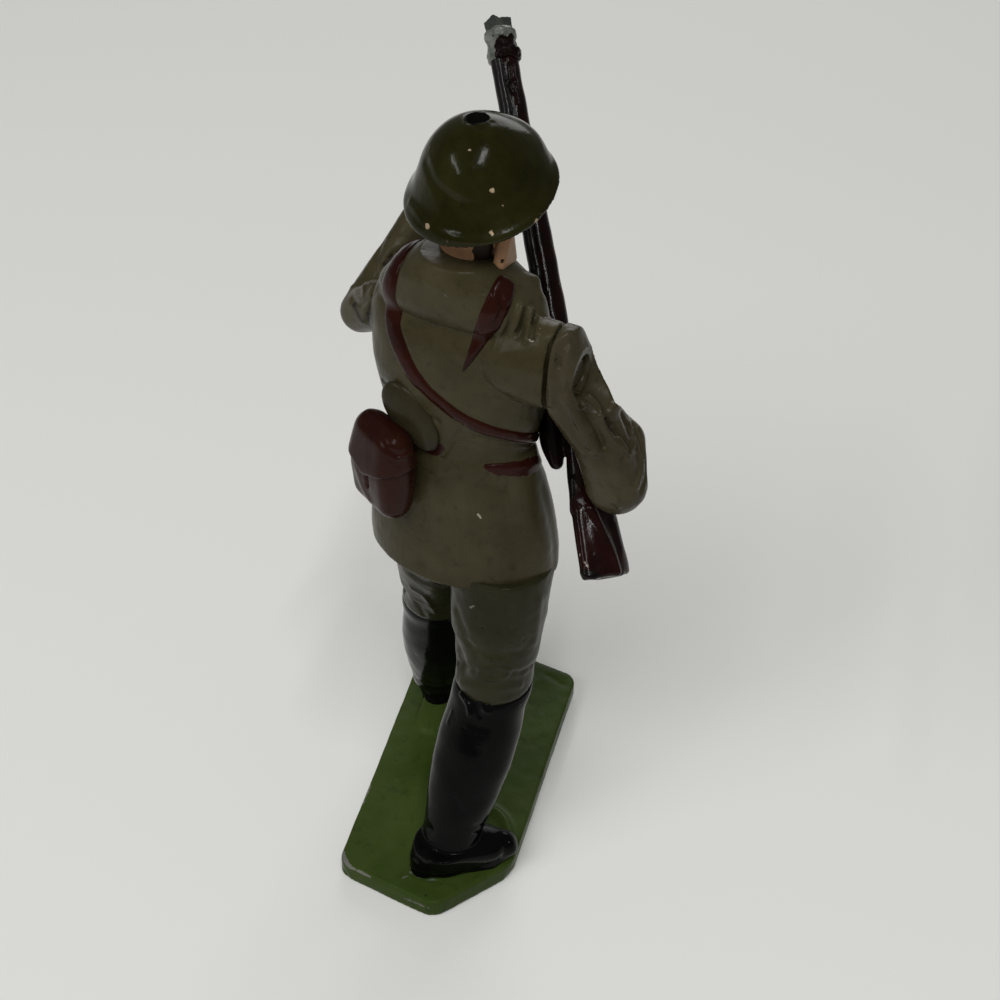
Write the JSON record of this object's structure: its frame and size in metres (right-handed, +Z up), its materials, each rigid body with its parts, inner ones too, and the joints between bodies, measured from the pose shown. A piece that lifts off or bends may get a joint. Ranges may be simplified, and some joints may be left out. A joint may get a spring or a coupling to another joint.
{
  "type": "toy soldier figure",
  "caption": "Hollow-cast painted toy foot soldier marching on an oblong base, with a right arm that swings on a shoulder stud and carries a rifle.",
  "frame": {"origin": "middle of the base's length and width, on its underside", "axes": "+Z up, the figure marches towards -Y along the base's sides, its right hand is on the -X side"},
  "size_m": [0.0218, 0.0318, 0.056],
  "materials": {
    "base_paint": "glossy enamel, worn at the edges",
    "boot_paint": "glossy enamel",
    "trouser_paint": "satin enamel, finely pitted",
    "tunic_paint": "satin enamel",
    "sleeve_paint": "satin enamel",
    "leather_paint": "glossy enamel",
    "pouch_paint": "glossy enamel",
    "bottle_paint": "satin enamel",
    "helmet_paint": "glossy enamel, chipped at the rim",
    "skin_paint": "satin enamel",
    "rifle_paint": "glossy enamel",
    "silver_paint": "metallic paint",
    "bare_metal": "bare cast lead alloy at the break"
  },
  "bodies": {
    "figure": {"base_plate": "base_paint", "left_foot_ramp": "base_paint", "right_foot_ramp": "base_paint", "left_boot": "boot_paint", "right_boot": "boot_paint", "left_breeches": "trouser_paint", "right_breeches": "trouser_paint", "tunic_skirt": "tunic_paint", "tunic_body": "tunic_paint", "waist_belt": "leather_paint", "cross_strap": "leather_paint", "shoulder_strap": "leather_paint", "haversack": "pouch_paint", "haversack_flap": "leather_paint", "water_bottle": "bottle_paint", "left_sleeve": "sleeve_paint", "left_hand": "skin_paint", "tunic_collar": "tunic_paint", "head": "skin_paint", "helmet": "helmet_paint", "shoulder_stud": "sleeve_paint"},
    "rifle_arm": {"right_sleeve": "sleeve_paint", "right_hand": "skin_paint", "rifle_stock": "rifle_paint", "rifle_barrel": "rifle_paint", "muzzle_band": "silver_paint", "bayonet_stub": "bare_metal"}
  },
  "joints": [
    {"name": "arm_swing", "type": "hinge", "parent": "figure", "child": "rifle_arm", "pos_m": [-0.00582, 0.00402, 0.0425], "axis": [-0.9781, 0.2079, 0], "range_deg": [0, 34]}
  ]
}
